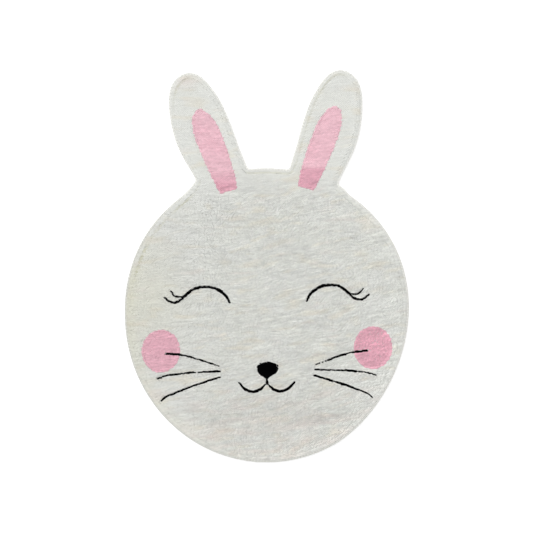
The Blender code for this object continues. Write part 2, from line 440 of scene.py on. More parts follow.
def joinCopies(name, verts, faces, corners, marks, material):
    # one mesh of many copies: verts (copies, points, 3) in mm, corners (faces, 3, 2) in one square of the map
    copies, points = verts.shape[:2]
    mesh = bpy.data.meshes.new(name)
    allFaces = (faces[None] + (np.arange(copies) * points)[:, None, None]).reshape(-1, 3)
    mesh.vertices.add(copies * points)
    mesh.vertices.foreach_set("co", (verts.reshape(-1) * mm).astype(np.float32))
    mesh.loops.add(allFaces.size)
    mesh.loops.foreach_set("vertex_index", allFaces.reshape(-1).astype(np.int32))
    mesh.polygons.add(len(allFaces))
    mesh.polygons.foreach_set("loop_start", np.arange(0, allFaces.size, 3, dtype=np.int32))
    mesh.polygons.foreach_set("use_smooth", np.ones(len(allFaces), bool))
    wide = int(math.ceil(math.sqrt(copies)))
    cell = np.column_stack((np.arange(copies) % wide, np.arange(copies) // wide)).astype(float)
    uv = (corners[None] + cell[:, None, None, :]) / wide
    layer = mesh.uv_layers.new(name="OFBake")
    layer.data.foreach_set("uv", uv.reshape(-1).astype(np.float32))
    for mark, values in marks.items():
        values = np.broadcast_to(np.asarray(values, float).reshape(copies, -1), (copies, points))
        layer = mesh.attributes.new(mark, "FLOAT", "POINT")
        layer.data.foreach_set("value", values.reshape(-1).astype(np.float32))
    mesh.update(calc_edges=True)
    mesh.materials.append(material)
    piece = bpy.data.objects.new(name, mesh)
    bpy.context.scene.collection.objects.link(piece)
    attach(piece, "root")
    print(name + ":", copies, "copies,", len(allFaces), "triangles")
    return piece


def standTufts(t):
    # t holds, for each tuft: x, y, turn, full, wide, tall, leanX, leanY
    v = tuftVerts[None]
    up = v[..., 2]
    reach = np.clip(up, 0, 1)
    longer = 1 + (tuft["combedLength"] - 1) * t["full"][:, None] * reach
    along = v[..., 0] * longer * t["wide"][:, None]
    across = v[..., 1] * t["wide"][:, None]
    cosine, sine = np.cos(t["turn"])[:, None], np.sin(t["turn"])[:, None]
    bend = reach ** tuft["bendPower"]
    x = t["x"][:, None] + cosine * along - sine * across + t["leanX"][:, None] * bend
    y = t["y"][:, None] + sine * along + cosine * across + t["leanY"][:, None] * bend
    z = tuft["groundTop"] + up * t["tall"][:, None]
    return np.stack((x, y, z), axis=-1)


# Rows of tufts in the field of the pile; on the ears and on the far left the pile lies closer and calmer
rows = {
    "pitchAcross": 6.5,
    "pitchRows": 2.9,
    "bend": 1.3,
    "bendCell": (70, 40),
    "stray": (2.0, 0.6),
    "earStray": 0.35,
    "fromRimRow": 0.7,
    "fromBlack": 1.9,
    "leastDepth": 0.4,
    "wide": (0.83, 1.04),
    "wideFrom": (1.9, 6.0),
    "wideVaries": (0.95, 1.07),
    "tallVaries": 0.25,
    "closeLonger": 0.5,
    "closeWider": 0.25,
    "rimWidth": 9.0,
    "rimDroop": 1.5,
    "rimReach": 4.2,
    "rimShorter": 0.5,
    "freeFromBlack": (1.8, 7.8),
    "earUp": (195, 260),
    "earCalm": 0.5,
    "rightEarCalmer": 0.3,
    "leftFrom": (-150, -250),
    "leftClose": 0.9,
}

# Rows set along the rim and along the borders of the colours, so that every colour ends in a clean line
edging = {
    "step": 3.6,
    "rimIn": (1.5, 4.4),
    "off": 2.5,
    "thinned": 2.6,
    "wide": 1.2,
    "full": 0.5,
    "upright": 0.35,
    "apart": 1.9,
}

# How the pile is brushed: level on the left, rising towards the right, in soft waves (turns in radians).
# A grain is unevenness in cells of this size, drawn out over steps along the brushing.
brushing = {
    "lean": 3.4,
    "down": -0.9,
    "rootBack": 0.6,
    "level": 0.10,
    "rise": 0.14,
    "riseAcross": (-180, 40),
    "chinRise": 0.06,
    "chinUp": (-230, -350),
    "waveTurn": 0.17,
    "waveCell": (80, 48),
    "curlTurn": 0.17,
    "curlCell": (30, 19),
    "shortGrain": {"much": 0.85, "cell": (5.1, 2.7), "step": 6, "count": 1, "seed": 11},
    "longGrain": {"much": 0.50, "cell": (11, 3.1), "step": 12, "count": 2, "seed": 12},
    "lift": 0.8,
    "sway": 0.8,
    "shade": 0.132,
    "loose": 0.35,
    "calmAcross": (-330, -230, 0, 400),
    "calmBy": (0.5, 0.75, 1.0, 1.0),
}


def ramp(value, start, full):
    # 0 up to start, 1 from full on, whichever of the two is higher
    return np.clip((value - start) / (full - start), 0, 1)


def flowTurn(x, y):
    b = brushing
    waves = b["waveTurn"] * softNoise(x, y, b["waveCell"], 13)
    waves = waves + b["curlTurn"] * softNoise(x, y, b["curlCell"], 14)
    return b["level"] + b["rise"] * ramp(x, *b["riseAcross"]) + b["chinRise"] * ramp(y, *b["chinUp"]) + waves


def brushed(x, y, turn, grain):
    total = 0
    for k in range(-grain["count"], grain["count"] + 1):
        alongX, alongY = k * grain["step"] * np.cos(turn), k * grain["step"] * np.sin(turn)
        total = total + softNoise(x + alongX, y + alongY, grain["cell"], grain["seed"])
    return total / math.sqrt(2 * grain["count"] + 1)


def besideLine(line, offset, closed):
    # places beside a line, to its right where offset is positive, with the line's own turn there
    path = spreadEvenly(line, edging["step"], closed)
    ahead = np.roll(path, -1, axis=0) - np.roll(path, 1, axis=0) if closed else np.gradient(path, axis=0)
    along = ahead[:, :2] / np.hypot(ahead[:, 0], ahead[:, 1])[:, None]
    half = path[:, 2] if path.shape[1] > 2 else 0.0
    far = (offset + np.sign(offset) * half) * np.ones(len(path))
    return np.column_stack((path[:, 0] + along[:, 1] * far, path[:, 1] - along[:, 0] * far,
                            np.arctan2(along[:, 1], along[:, 0])))


def layEdging():
    # (x, y, turn) of every tuft beside a border; the rim's own row comes first
    off = edging["off"]
    rimRow = np.vstack([besideLine(rim, -depth, True) for depth in edging["rimIn"]])
    beside = [besideLine(line, side * off, True) for line in colourBorders.values() for side in (1, -1)]
    beside += [besideLine(line, side * off, False) for line in drawnLines.values() for side in (1, -1)]
    beside = np.vstack(beside + [besideLine(noseBorder, off, True)])
    beside = beside[fromBlack(beside[:, 0], beside[:, 1]) > off - 0.5]
    return rimRow, thinOut(beside, edging["thinned"])


def placeTree(places):
    tree = kdtree.KDTree(len(places))
    for i, place in enumerate(places):
        tree.insert((place[0], place[1], 0), i)
    tree.balance()
    return tree


def thinOut(places, apart):
    # leave out places that stand too near an earlier one
    tree = placeTree(places)
    kept, dropped = [], set()
    for i, (x, y, _) in enumerate(places):
        if i not in dropped:
            kept.append(i)
            dropped.update(j for _, j, _ in tree.find_range((x, y, 0), apart) if j > i)
    return places[kept]


def clearOf(x, y, places, apart):
    tree = placeTree(places)
    return np.array([tree.find((a, b, 0))[2] > apart for a, b in zip(x, y)])


def layRows():
    rng = np.random.default_rng(41)
    low, high = rim.min(axis=0), rim.max(axis=0)
    gx, gy = np.meshgrid(np.arange(low[0], high[0], rows["pitchAcross"]),
                         np.arange(low[1], high[1], rows["pitchRows"]))
    gx = gx + (np.arange(len(gx)) % 2)[:, None] * rows["pitchAcross"] / 2
    x, y = gx.ravel(), gy.ravel()
    y = y + rows["bend"] * softNoise(x, y, rows["bendCell"], 5)
    stray = np.where(y > rows["earUp"][0], rows["earStray"], 1.0)
    x = x + rows["stray"][0] * stray * rng.uniform(-1, 1, len(x))
    y = y + rows["stray"][1] * stray * rng.uniform(-1, 1, len(y))
    rimRow, beside = layEdging()
    bordering = np.vstack((rimRow, beside))
    depth, out = fromRim(np.column_stack((x, y)))
    keep = (depth > edging["rimIn"][1] + rows["fromRimRow"]) & (fromBlack(x, y) > rows["fromBlack"])
    keep &= clearOf(x, y, bordering, edging["apart"])
    x, y = x[keep], y[keep]
    # kind: 0 in the field, 1 along a border, 2 along the rim
    kind = np.concatenate((np.zeros(len(x)), np.full(len(rimRow), 2), np.full(len(beside), 1)))
    turn = np.concatenate((np.zeros(len(x)), bordering[:, 2]))
    x, y = np.concatenate((x, bordering[:, 0])), np.concatenate((y, bordering[:, 1]))
    depth, out = fromRim(np.column_stack((x, y)))
    keep = depth > rows["leastDepth"]
    return x[keep], y[keep], depth[keep], out[keep], kind[keep], turn[keep]


def measurePile(x, y, depth, out):
    # what the looks of a tuft depend on: its place, the distance from the middle, the rim and the black,
    # which way is out, and how much it is on an ear
    ear = ramp(y, *rows["earUp"])
    return {
        "x": x,
        "y": y,
        "aside": np.abs(x),
        "depth": depth,
        "outX": out[:, 0],
        "outY": out[:, 1],
        "black": fromBlack(x, y),
        "besideChin": -x - np.interp(y, chin["up"], chin["half"]),
        "ear": ear,
        "head": 1 - ear,
    }


def covered(spot, ramps):
    # how much a wash covers each tuft: all of it past the second value of every ramp, none before the first
    cover = 1.0
    for measure, (start, full) in ramps.items():
        cover = cover * ramp(spot[measure], start, full)
    return cover


# Brightness of the cream pile up the rug, painted light and shade for how the combed nap takes the light, and
# the washes of painted light and shade over it
paintedShadeUpRug = {
    "up": (-480, -445, -415, -380, -320, -90, 60, 195, 260, 320),
    "shade": (0.0, -0.04, -0.06, -0.035, -0.005, 0.0, 0.01, 0.02, 0.035, 0.05),
}
chin = {"up": (-520, -420), "half": (110, 150)}
betweenEars = {"aside": (95, 65), "y": (195, 235)}
# each wash is painted light or painted shade: the tufts made paler or darker where more or less light falls
# on them
paintedLightWashes = {
    "rim": (0.03, {"depth": (55, 0), "head": (0, 1)}),
    "leftJowl": (0.07, {"besideChin": (0, 110), "y": (-290, -400)}),
    "rightJowl": (0.07, {"x": (150, 260), "y": (-240, -380)}),
    "farLeft": (-0.05, {"x": rows["leftFrom"], "head": (0, 1)}),
    "farRight": (0.02, {"x": (230, 290), "y": (-330, -230), "head": (0, 1)}),
    "betweenEars": (-0.04, {"depth": (0, 30), **betweenEars}),
    "rightOfEars": (0.045, {"outX": (0, 1), "depth": (30, 0), "ear": (0, 1)}),
    "besideBlack": (0.09, {"black": (6.5, 1.5)}),
    "lowerRimRow": (0.05, {"outY": (0, -1), "depth": (7, 4)}),
    # the left rim leans towards the light and the right one away from it, but for its low end
    "leftRim": (-0.045, {"outX": (0, -1), "depth": (16, 0), "head": (0, 1)}),
    "rightRimLow": (0.04, {"outX": (0, 1), "depth": (16, 0), "head": (0, 1), "y": (-150, -260)}),
    "rightRimHigh": (-0.03, {"outX": (0, 1), "depth": (16, 0), "head": (0, 1), "y": (-260, -150)}),
}

# A shallow furrow beside the edge where it faces up or left, further in and deeper on the left shoulder
# and at the top of the left ear; its tufts stand lower, and its darkness is painted shade
furrowed = {
    "facing": (-0.45, 0.9),
    "open": (0.3, 0.7),
    "openUp": (-120, 0),
    "shoulder": {"x": (-150, -210), "y": (230, 210)},
    "earTop": 0.7,
    "earTopAt": (-240, 505, 55, 45),
    "in": (5.2, 10.0),
    "half": 2.2,
    "breaks": (0.7, 0.8),
    "breakCell": (34, 34),
    # painted shade darkening the furrow, on the head and on the ears, and more on the shoulder
    "shade": (0.10, 0.18),
    "shoulderShade": 0.08,
    "lessBetweenEars": 0.5,
    "warm": 0.5,
    "deep": 0.6,
}

# Where the cream yarn has yellowed (warm) or reddened (rosy)
tinted = {
    "sunned": 0.36,
    "sunnedAt": (-340, -90, 130, 190),
    "sunnedReach": 1.15,
    "patchGrain": {"cell": (22, 11), "step": 16, "count": 1, "seed": 21},
    "patchFrom": 0.3,
    "patchWarm": 0.42,
    "patchRosy": 0.3,
    "rimWarm": (0.35, {"outX": (0, -1), "depth": (32, 0)}),
    "chinRosy": (0.32, {"y": (-290, -440)}),
    "rosyGrain": {"cell": (24, 10), "step": 18, "count": 1, "seed": 22},
    "rosyFrom": 0.5,
    "rosyMuch": 0.3,
    "earTop": 0.45,
    "earTopAt": (-228, 517, 30, 16),
}


def offCentre(x, y, at):
    # squared distance from a place, in its own half width and half height
    return ((x - at[0]) / at[2]) ** 2 + ((y - at[1]) / at[3]) ** 2


def furrowBeside(spot, out):
    f, x, y = furrowed, spot["x"], spot["y"]
    shoulder = covered(spot, f["shoulder"]) + f["earTop"] * np.exp(-offCentre(x, y, f["earTopAt"]))
    inward = f["in"][0] + (f["in"][1] - f["in"][0]) * shoulder
    furrow = ramp(out @ np.array(f["facing"]), *f["open"]) * ramp(y, *f["openUp"])
    furrow = furrow * np.exp(-((spot["depth"] - inward) / f["half"]) ** 2)
    breaks = f["breaks"][0] + f["breaks"][1] * softNoise(x, y, f["breakCell"], 31)
    return shoulder, furrow * np.clip(breaks, 0, 1)


def creamPaintedShade(spot, shoulder, furrow):
    f = furrowed
    # painted light and shade of the cream pile: its brightness up the rug, the washes, and the furrow
    # darkened
    shade = np.interp(spot["y"], paintedShadeUpRug["up"], paintedShadeUpRug["shade"])
    for paler, ramps in paintedLightWashes.values():
        shade = shade + paler * covered(spot, ramps)
    # painted shade darkens the furrow, more on the ears and the left shoulder
    deep = f["shade"][0] + (f["shade"][1] - f["shade"][0]) * spot["ear"] + f["shoulderShade"] * shoulder
    return shade - deep * furrow * (1 - f["lessBetweenEars"] * covered(spot, betweenEars))


def creamTint(spot, flow, shoulder, furrow):
    t, x, y = tinted, spot["x"], spot["y"]
    patch = np.clip(brushed(x, y, flow, t["patchGrain"]) - t["patchFrom"], 0, 1)
    warm = t["sunned"] * np.clip(t["sunnedReach"] - np.sqrt(offCentre(x, y, t["sunnedAt"])), 0, 1)
    warm = warm + t["patchWarm"] * patch + furrowed["warm"] * furrow * (1 + shoulder)
    warm = warm + t["rimWarm"][0] * covered(spot, t["rimWarm"][1]) * (y < 0)
    rosy = t["chinRosy"][0] * covered(spot, t["chinRosy"][1])
    rosy = np.clip(rosy + t["rosyMuch"] * (brushed(x, y, flow, t["rosyGrain"]) - t["rosyFrom"]), 0, 1)
    rosy = rosy + t["patchRosy"] * patch + t["earTop"] * np.exp(-offCentre(x, y, t["earTopAt"]))
    return np.clip(warm, 0, 1), np.clip(rosy, 0, 1)


def pileTufts():
    x, y, depth, out, kind, lineTurn = layRows()
    rng = np.random.default_rng(7)
    b, r = brushing, rows
    spot = measurePile(x, y, depth, out)
    ear, black = spot["ear"], spot["black"]
    earCalm = 1 - (1 - r["earCalm"]) * ear
    calm = earCalm * np.interp(x, b["calmAcross"], b["calmBy"]) * (1 - r["rightEarCalmer"] * ear * (x > 0))
    close = np.maximum(ear, r["leftClose"] * ramp(x, *r["leftFrom"]) * (1 - ear))
    flow = flowTurn(x, y) * earCalm
    streak = sum(grain["much"] * brushed(x, y, flow, grain) for grain in (b["shortGrain"], b["longGrain"]))
    # tufts beside a black line or a colour's border stand straighter, and lie along it
    free = ramp(black, *r["freeFromBlack"])
    bordering = kind == 1
    upright = np.where(bordering, edging["upright"], 1.0) * free
    lean = upright * b["lean"]
    sway = upright * (b["down"] + b["sway"] * calm * streak)
    leanX = lean * np.cos(flow) - sway * np.sin(flow)
    leanY = lean * np.sin(flow) + sway * np.cos(flow)
    # the rim's tufts fall over the oversewn edge
    atRim = ramp(depth, r["rimWidth"], 0)
    shoulder, furrow = furrowBeside(spot, out)
    warm, rosy = creamTint(spot, flow, shoulder, furrow)
    full = free * np.where(bordering, edging["full"], 1 - r["rimShorter"] * atRim)
    fieldWide = np.interp(black, r["wideFrom"], r["wide"]) * (1 + r["closeWider"] * close)
    wide = np.where(kind > 0, edging["wide"], fieldWide) * rng.uniform(*r["wideVaries"], len(x))
    lifted = calm * (b["lift"] * streak + rng.uniform(-r["tallVaries"], r["tallVaries"], len(x)))
    loose = b["loose"] * rng.uniform(-1, 1, len(x)) * (1 - close)
    return {
        "x": x - b["rootBack"] * leanX,
        "y": y - b["rootBack"] * leanY,
        "placeX": x,
        "placeY": y,
        "turn": np.where(bordering, (lineTurn + math.pi / 2) % math.pi - math.pi / 2, flow),
        "full": full * (1 + r["closeLonger"] * close),
        "wide": wide,
        "tall": tuft["height"] + lifted - r["rimDroop"] * atRim - furrowed["deep"] * furrow,
        "leanX": leanX + r["rimReach"] * atRim * out[:, 0],
        "leanY": leanY + r["rimReach"] * atRim * out[:, 1],
        "shade": creamPaintedShade(spot, shoulder, furrow) + b["shade"] * calm * (streak + loose),
        "warm": warm,
        "rosy": rosy,
        "edge": np.min([fromLine(x, y, line) for line in colourBorders.values()], axis=0),
        "streak": streak,
    }


def take(tufts, chosen):
    return {key: value[chosen] for key, value in tufts.items()}


# Materials
creamPile = {
    "main": "#dadbd6",
    "other": "#d9dad6",
    "warm": "#d9d8c4",
    "rosy": "#dbd2cc",
    "roughness": 0.92,
    "specular": 0.15,
    "sheen": 0.12,
    "sheenRoughness": 0.6,
    "paintedRootShade": 0.85,
}
pinkPile = {
    **creamPile,
    "main": "#ebc2cc",
    "other": "#eabec9",
    "warm": "#ecbdc8",
    "rosy": "#dfa4b5",
}
blackPile = {
    "main": "#020203",
    "other": "#060607",
    "warm": "#060505",
    "rosy": "#060505",
    "roughness": 0.95,
    "specular": 0.02,
    "sheen": 0.0,
    "sheenRoughness": 0.6,
    "paintedRootShade": 0.6,
}


def finishSurface(tree, look, colour, relief):
    surface = addNode(tree, "ShaderNodeBsdfPrincipled", {
        "Base Color": colour, "Roughness": look["roughness"], "Specular IOR Level": look["specular"],
        "Sheen Weight": look["sheen"], "Sheen Roughness": look["sheenRoughness"], "Normal": relief})
    addNode(tree, "ShaderNodeOutputMaterial", {"Surface": surface.outputs[0]})


def cutPile(name, look):
    # Acrylic cut pile: loose cut ends scatter light evenly, so it is matt with a faint bloom,
    # and painted shade darkens it where it opens down to the roots
    material, tree = emptyMaterial(name)
    place = addNode(tree, "ShaderNodeTexCoord").outputs["Object"]
    # dye lots change over 6 to 12 cm
    broad = addNode(tree, "ShaderNodeMapping", {"Vector": place, "Scale": (9, 17, 9)}).outputs[0]
    patches = addNode(tree, "ShaderNodeTexNoise",
                      {"Vector": broad, "Scale": 1.0, "Detail": 3.0}).outputs["Fac"]
    patch = addNode(tree, "ShaderNodeMapRange",
                    {"Value": patches, "From Min": 0.42, "From Max": 0.60}).outputs[0]
    base = addNode(tree, "ShaderNodeMix", {0: patch, 6: hexColour(look["main"]), 7: hexColour(look["other"])},
                   data_type="RGBA").outputs[2]
    # yarn warmed by the sun and by handling, tuft by tuft
    for mark in ("warm", "rosy"):
        amount = addNode(tree, "ShaderNodeAttribute", attribute_name="yarn" + mark.title()).outputs["Fac"]
        base = addNode(tree, "ShaderNodeMix", {0: amount, 6: base, 7: hexColour(look[mark])},
                       data_type="RGBA").outputs[2]
    # fibres of 0.03 mm can't show: drawn as strands 1.6 mm wide and 9 mm long
    strandPlace = addNode(tree, "ShaderNodeMapping", {"Vector": place, "Scale": (110, 620, 300)}).outputs[0]
    strands = addNode(tree, "ShaderNodeTexNoise",
                      {"Vector": strandPlace, "Scale": 1.0, "Detail": 2.0}).outputs["Fac"]
    strandShade = addNode(tree, "ShaderNodeMapRange",
                          {"Value": strands, "From Min": 0.3, "From Max": 0.7,
                           "To Min": 0.95, "To Max": 1.04}).outputs[0]
    # painted shade: the colour darker the lower the yarn lies, towards the roots
    height = addNode(tree, "ShaderNodeSeparateXYZ", {0: place}).outputs["Z"]
    root = addNode(tree, "ShaderNodeMapRange",
                   {"Value": height, "From Min": 6 * mm, "From Max": 12 * mm,
                    "To Min": look["paintedRootShade"], "To Max": 1.0}).outputs[0]
    # each tuft's own tone together with its painted light and shade
    tuftMark = addNode(tree, "ShaderNodeAttribute", attribute_name="yarnToneAndPaintedShade").outputs["Fac"]
    tuftToneAndPaintedShade = addNode(tree, "ShaderNodeMath", {0: tuftMark, 1: 1.0}, operation="ADD").outputs[0]
    shade = addNode(tree, "ShaderNodeMath", {0: root, 1: strandShade}, operation="MULTIPLY").outputs[0]
    shade = addNode(tree, "ShaderNodeMath", {0: shade, 1: tuftToneAndPaintedShade}, operation="MULTIPLY").outputs[0]
    colour = addNode(tree, "ShaderNodeMix", {0: 1.0, 6: base, 7: shade}, data_type="RGBA",
                     blend_type="MULTIPLY").outputs[2]
    relief = addNode(tree, "ShaderNodeBump",
                     {"Strength": 0.5, "Distance": 0.7 * mm, "Height": strands}).outputs[0]
    finishSurface(tree, look, colour, relief)
    return material


whipYarn = {
    "main": "#f3f3ee",
    # the darker colour is painted shade, mixed in where the stitches are shaded
    "other": "#cfcfc8",
    "roughness": 0.85,
    "specular": 0.2,
    "sheen": 0.12,
    "sheenRoughness": 0.5,
    "plies": 3,
}


def whippedYarn(name, look):
    # Plied cotton yarn, wound tight: firmer and a little smoother than the pile, with slanting plies
    material, tree = emptyMaterial(name)
    place = addNode(tree, "ShaderNodeTexCoord").outputs["Object"]
    uv = addNode(tree, "ShaderNodeUVMap", uv_map="OFBake").outputs[0]
    wide = math.ceil(math.sqrt(look["wraps"]))
    # three plies of 1.3 mm over each wrap: whole turns, so that every wrap's square of the map looks alike
    inWrap = addNode(tree, "ShaderNodeMapping",
                     {"Vector": uv, "Scale": (wide * look["plies"] * 2, wide * look["plies"], 1)}).outputs[0]
    plies = addNode(tree, "ShaderNodeTexWave",
                    {"Vector": inWrap, "Scale": 1 / math.pi * 0.5, "Distortion": 0.4},
                    wave_type="BANDS", bands_direction="DIAGONAL").outputs["Fac"]
    # painted shade: the grooves between the plies a little darker
    paintedPlyGrooveShade = addNode(tree, "ShaderNodeMapRange",
                     {"Value": plies, "From Min": 0.0, "From Max": 0.6,
                      "To Min": 0.92, "To Max": 1.0}).outputs[0]
    # loose fibre ends about 1 mm apart
    fuzz = addNode(tree, "ShaderNodeTexNoise",
                   {"Vector": place, "Scale": 900.0, "Detail": 2.0}).outputs["Fac"]
    # painted shade, stitch by stitch: the darker yarn colour mixed in by the mark
    mark = addNode(tree, "ShaderNodeAttribute", attribute_name="yarnToneAndPaintedShade").outputs["Fac"]
    base = addNode(tree, "ShaderNodeMix", {0: mark, 6: hexColour(look["main"]), 7: hexColour(look["other"])},
                   data_type="RGBA").outputs[2]
    colour = addNode(tree, "ShaderNodeMix", {0: 1.0, 6: base, 7: paintedPlyGrooveShade}, data_type="RGBA",
                     blend_type="MULTIPLY").outputs[2]
    height = addNode(tree, "ShaderNodeMath", {0: plies, 1: fuzz}, operation="ADD").outputs[0]
    relief = addNode(tree, "ShaderNodeBump",
                     {"Strength": 0.6, "Distance": 0.4 * mm, "Height": height}).outputs[0]
    finishSurface(tree, look, colour, relief)
    return material


canvas = {
    "main": "#d9d4c6",
    "thread": "#c6c0b0",
    "threadMm": 1.6,
    "roughness": 0.9,
    "specular": 0.2,
    "sheen": 0.0,
    "sheenRoughness": 0.5,
}


def cottonCanvas(name, look):
    # Plain-woven cotton backing: matt, with threads crossing over and under, drawn 1.6 mm apart to show
    material, tree = emptyMaterial(name)
    place = addNode(tree, "ShaderNodeTexCoord").outputs["Object"]
    turns = math.pi / (look["threadMm"] * mm)
    axes = addNode(tree, "ShaderNodeSeparateXYZ", {0: place})
    waves = []
    for axis in "XY":
        angle = addNode(tree, "ShaderNodeMath", {0: axes.outputs[axis], 1: turns},
                        operation="MULTIPLY").outputs[0]
        waves.append(addNode(tree, "ShaderNodeMath", {0: angle}, operation="SINE").outputs[0])
    weave = addNode(tree, "ShaderNodeMath", {0: waves[0], 1: waves[1]}, operation="MULTIPLY").outputs[0]
    over = addNode(tree, "ShaderNodeMath", {0: weave, 1: 0.5, 2: 0.5}, operation="MULTIPLY_ADD").outputs[0]
    # thicker and thinner threads over 17 mm
    slubs = addNode(tree, "ShaderNodeTexNoise",
                    {"Vector": place, "Scale": 60.0, "Detail": 3.0}).outputs["Fac"]
    # painted shade: the weave darker where the threads dip under, and uneven where the slubs run
    mix = addNode(tree, "ShaderNodeMath", {0: over, 1: slubs}, operation="MULTIPLY").outputs[0]
    colour = addNode(tree, "ShaderNodeMix",
                     {0: mix, 6: hexColour(look["thread"]), 7: hexColour(look["main"])},
                     data_type="RGBA").outputs[2]
    relief = addNode(tree, "ShaderNodeBump",
                     {"Strength": 0.5, "Distance": 0.4 * mm, "Height": over}).outputs[0]
    finishSurface(tree, look, colour, relief)
    return material


creamCutPile = cutPile("creamCutPile", creamPile)
pinkCutPile = cutPile("pinkCutPile", pinkPile)
blackCutPile = cutPile("blackCutPile", blackPile)
cottonCanvasBack = cottonCanvas("cottonCanvasBack", canvas)

# Cream pieces of the head from one height to another; above them each ear is a piece of its own
zones = {
    "forehead_pile": (10, 190),
    "face_pile": (-150, 10),
    "muzzle_pile": (-310, -150),
    "chin_pile": (-600, -310),
}


def addTufts(name, tufts, material):
    marks = {"yarnToneAndPaintedShade": tufts["shade"], "yarnWarm": tufts["warm"], "yarnRosy": tufts["rosy"]}
    joinCopies(name, standTufts(tufts), tuftFaces, tuftMap, marks, material)


# The pink yarn is deeper towards the foot of the ears and in the right cheek; -1 is left, 1 is right
blush = {
    "earShade": -0.08,
    "footShade": -0.03,
    "cheekShade": -0.042,
    "streak": 0.035,
    "grain": 0.06,
    "wider": 1.12,
    "shorter": 0.72,
    "earFoot": {-1: (274, 226), 1: (281, 272)},
    "footRosy": 0.66,
    "cheekRosy": {-1: 0.42, 1: 0.64},
    # a paler band just above the right ear's foot: how much, at what height, half how wide
    "paleBand": (0.07, 290, 12),
    "borderWidth": 3.2,
    "borderLift": 0.7,
    "borderFull": 0.55,
    # where the brushing crosses the border outwards, the pink ends in small teeth
    "toothFromTurn": 0.6,
    "tooth": 4.8,
    "toothPitch": 11.3,
    "toothStray": 0.15,
    "toothTurn": 0.1,
    "toothFull": 0.8,
    "sliceHalf": 12,
    "rightBy": 6,
}


def pinkTufts(part, name, side):
    rng = np.random.default_rng(51)
    count, up = len(part["placeY"]), part["placeY"]
    if name == "inner_ear_":
        foot = ramp(up, *blush["earFoot"][side])
        part["shade"] = part["shade"] + blush["earShade"] + blush["footShade"] * foot
        part["rosy"] = blush["footRosy"] * foot
        if side > 0:
            lift, at, half = blush["paleBand"]
            band = np.clip(1.5 - np.abs(up - at) / half, 0, 1) * (foot < 0.5)
            part["shade"] = part["shade"] + lift * band
    else:
        part["shade"] = part["shade"] + blush["cheekShade"]
        part["rosy"] = np.full(count, blush["cheekRosy"][side])
    part["warm"] = np.zeros(count)
    part["wide"] = part["wide"] * blush["wider"]
    grain = blush["grain"] * rng.uniform(-1, 1, count)
    part["shade"] = part["shade"] + blush["streak"] * part["streak"] + grain
    nearBorder = part["edge"] < blush["borderWidth"]
    toRight = nearBorder & (np.abs(np.sin(part["turn"])) > blush["toothFromTurn"]) & rightSide(part)
    stray = rng.uniform(-blush["toothStray"], blush["toothStray"], count)
    tooth = (up / blush["toothPitch"]) % 1 - 0.5 + stray
    part["x"] = part["x"] + np.where(toRight, blush["tooth"] * tooth, 0)
    part["turn"] = np.where(toRight, blush["toothTurn"], part["turn"])
    part["full"] = np.where(nearBorder, blush["borderFull"], part["full"] * blush["shorter"])
    part["full"] = np.where(toRight, blush["toothFull"], part["full"])
    part["tall"] = part["tall"] + np.where(nearBorder, blush["borderLift"], 0)
    return part


def rightSide(part):
    # tufts on the right-hand border of their own pink shape
    x, y = part["placeX"], part["placeY"]
    middle = np.array([np.mean(x[np.abs(y - at) < blush["sliceHalf"]]) for at in y])
    return x > middle + blush["rightBy"]


def dressRows():
    tufts = pileTufts()
    x, y = tufts["placeX"], tufts["placeY"]
    free = np.ones(len(x), bool)
    for word, side in sides.items():
        for name, chosen in (("inner_ear_", inInnerEar(x, y, side)), ("cheek_", inCheek(x, y, side))):
            addTufts(name + word, pinkTufts(take(tufts, chosen), name, side), pinkCutPile)
            free &= ~chosen
    for name, (low, high) in zones.items():
        addTufts(name, take(tufts, free & (y > low) & (y <= high)), creamCutPile)
    onEars = free & (y > zones["forehead_pile"][1])
    for word, side in sides.items():
        addTufts("ear_pile_" + word, take(tufts, onEars & (x * side > 0)), creamCutPile)


dressRows()

# Black lines: tufts set along the drawn lines, one, two or three abreast
ink = {
    "step": 2.8,
    "least": 0.6,
    "pairHalf": 2.6,
    "pairFrom": 1,
    "threeFrom": 2.2,
    "fatter": {"eye": 1.05, "whiskers": 1.34, "mouth": 1.23},
    # hand-guided tufting: the lines waver and swell a little
    "wobble": 1.2,
    "swell": 0.3,
    "wobbleCell": (4.6, 4.6),
    "jitter": 0.7,
    "lift": 1.1,
    "full": 0.1,
    "turnVaries": 0.15,
    "wideVaries": (0.9, 1.06),
    "tallVaries": 0.3,
    "leanVaries": {"X": (-0.3, 0.5), "Y": (-0.4, 0.2)},
    "shadeVaries": 0.2,
}
# the nose is filled with rows of tufts, and a looser row runs inside its border
noseFill = {
    "step": 2.8,
    "across": (-40, 40),
    "up": (-320, -255),
    "borderIn": 1.4,
    "fieldIn": 2.9,
    "turnVaries": 0.4,
    "wide": 1.6,
    "borderVaries": 1.9,
    "borderWide": (1.0, 1.35),
}


